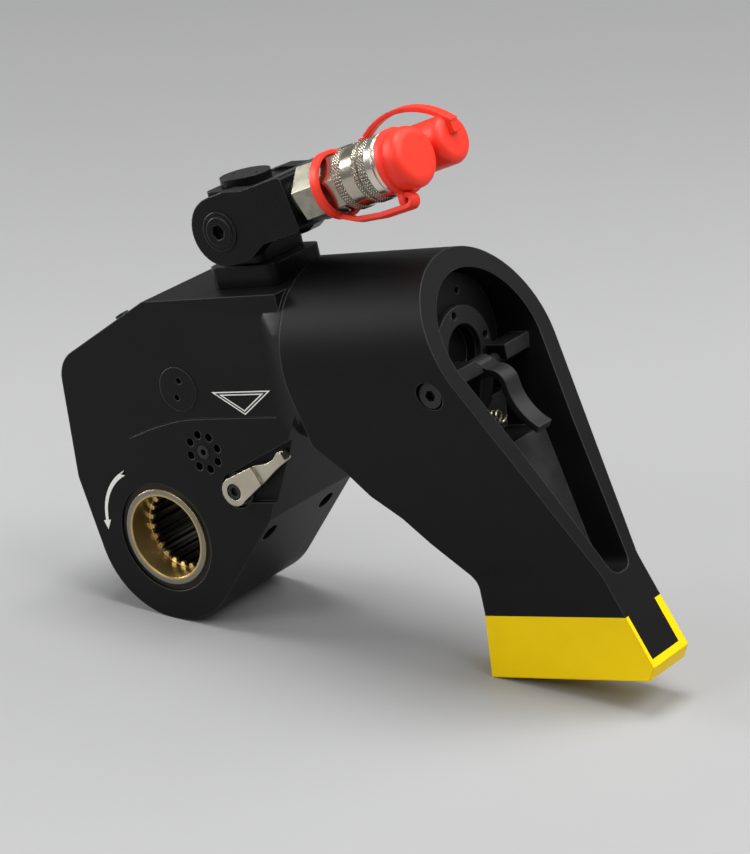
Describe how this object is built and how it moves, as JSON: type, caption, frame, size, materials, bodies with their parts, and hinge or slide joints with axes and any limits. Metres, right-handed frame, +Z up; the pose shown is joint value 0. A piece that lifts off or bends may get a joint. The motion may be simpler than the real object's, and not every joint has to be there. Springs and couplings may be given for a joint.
{
  "type": "hydraulic torque wrench",
  "caption": "Square-drive hydraulic torque wrench: ratchet head, cylinder, slanted reaction arm with latch, release lever and swivelling couplers with dust caps.",
  "frame": {"origin": "drive axis at the front face of the ratchet hub", "axes": "-Y is the drive axis towards the viewer, +Z is up with the tool standing on its nose and reaction foot, +X runs from the drive towards the reaction arm"},
  "size_m": [0.3022, 0.08, 0.2465],
  "materials": {
    "black_coat": "satin black coating on alloy steel",
    "arm_coat": "satin black coating with the foot painted yellow",
    "black_steel": "black oxide",
    "bronze": "turned bearing bronze",
    "tool_steel": "heat-treated steel with a straw tone",
    "ground_steel": "ground",
    "hard_chrome": "hard chrome, polished",
    "seal": "moulded seal",
    "satin_nickel": "satin nickel",
    "spring_steel": "drawn wire",
    "zinc": "olive-grey zinc plate",
    "nickel": "bright nickel plate",
    "red_rubber": "moulded red rubber"
  },
  "bodies": {
    "housing": {"housing": "black_coat", "rear_cover": "black_coat", "cover_screws": "black_steel", "front_bushing": "bronze", "rear_bushing": "bronze", "facet_screws": "black_steel", "side_plug": "black_coat", "relief_plug": "black_steel", "vent_screw": "black_steel", "rod_gland": "bronze", "rod_seal": "seal", "cylinder_cap": "black_steel", "cap_ring": "black_steel", "lever_bush": "satin_nickel", "reaction_arm": "arm_coat", "latch_pin": "black_steel", "latch_spring": "spring_steel", "swivel_base": "black_coat", "swivel_post": "ground_steel", "post_seals": "seal", "swivel_cap": "black_coat"},
    "ratchet": {"ratchet": "tool_steel"},
    "drive": {"drive_plate_front": "tool_steel", "drive_plate_rear": "tool_steel", "pawl_pin": "ground_steel"},
    "drive_pawl": {"drive_pawl": "tool_steel"},
    "piston": {"piston": "ground_steel", "piston_seal": "seal", "piston_rod": "hard_chrome", "rod_pin": "ground_steel"},
    "release": {"release_lever": "satin_nickel", "lever_shaft": "ground_steel", "lever_screw": "satin_nickel", "reaction_pawl": "tool_steel"},
    "latch": {"latch_lever": "black_steel"},
    "swivel": {"swivel_body": "black_coat"},
    "fork": {"coupler_fork": "black_coat", "pivot_screws": "black_steel", "hose_adapters": "zinc", "coupler_body": "nickel", "coupler_nipple": "nickel"},
    "collar": {"coupler_collar": "nickel"},
    "front_cap": {"front_dust_cap": "red_rubber"},
    "rear_cap": {"rear_dust_cap": "red_rubber"}
  },
  "joints": [
    {"name": "ratchet_turn", "type": "hinge", "parent": "housing", "child": "ratchet", "pos_m": [0, 0.031, 0], "axis": [0, -1, 0], "continuous": true},
    {"name": "piston_stroke", "type": "slide", "parent": "housing", "child": "piston", "axis": [-0.9805, 0, -0.1967], "range_m": [0, 0.0418]},
    {"name": "drive_swing", "type": "hinge", "parent": "housing", "child": "drive", "pos_m": [0, 0.031, 0], "axis": [0, -1, 0], "range_deg": [0, 30.01]},
    {"name": "drive_pawl_tilt", "type": "hinge", "parent": "drive", "child": "drive_pawl", "pos_m": [0.00293, 0.031, 0.04591], "axis": [0, -1, 0], "range_deg": [0, 10]},
    {"name": "release_tilt", "type": "hinge", "parent": "housing", "child": "release", "pos_m": [0.04371, 0.031, 0.03121], "axis": [0, 1, 0], "range_deg": [0, 8], "stiffness_Nm_per_rad": 2, "springref_deg": -6.88},
    {"name": "latch_tilt", "type": "hinge", "parent": "housing", "child": "latch", "pos_m": [0.15732, 0.031, 0.09786], "axis": [0, -1, 0], "range_deg": [0, 10], "stiffness_Nm_per_rad": 1, "springref_deg": -8.59, "deforming": ["latch_spring"]},
    {"name": "swivel_turn", "type": "hinge", "parent": "housing", "child": "swivel", "pos_m": [0.04148, 0.031, 0.14908], "axis": [-0.1967, 0, 0.9805], "continuous": true},
    {"name": "fork_tilt", "type": "hinge", "parent": "swivel", "child": "fork", "pos_m": [0.04124, 0.031, 0.15025], "axis": [0, -1, 0], "range_deg": [-2, 156]},
    {"name": "collar_turn", "type": "hinge", "parent": "fork", "child": "collar", "pos_m": [0.11881, 0.0175, 0.18504], "axis": [0.9181, 0, 0.3963], "continuous": true},
    {"name": "front_cap_pull", "type": "slide", "parent": "fork", "child": "front_cap", "axis": [0.9181, 0, 0.3963], "range_m": [0, 0.007]},
    {"name": "rear_cap_pull", "type": "slide", "parent": "fork", "child": "rear_cap", "axis": [0.9181, 0, 0.3963], "range_m": [0, 0.015]}
  ],
  "couplings": [
    {"joint": "drive_swing", "follows": "piston_stroke", "rad_per_m": 12.526}
  ]
}
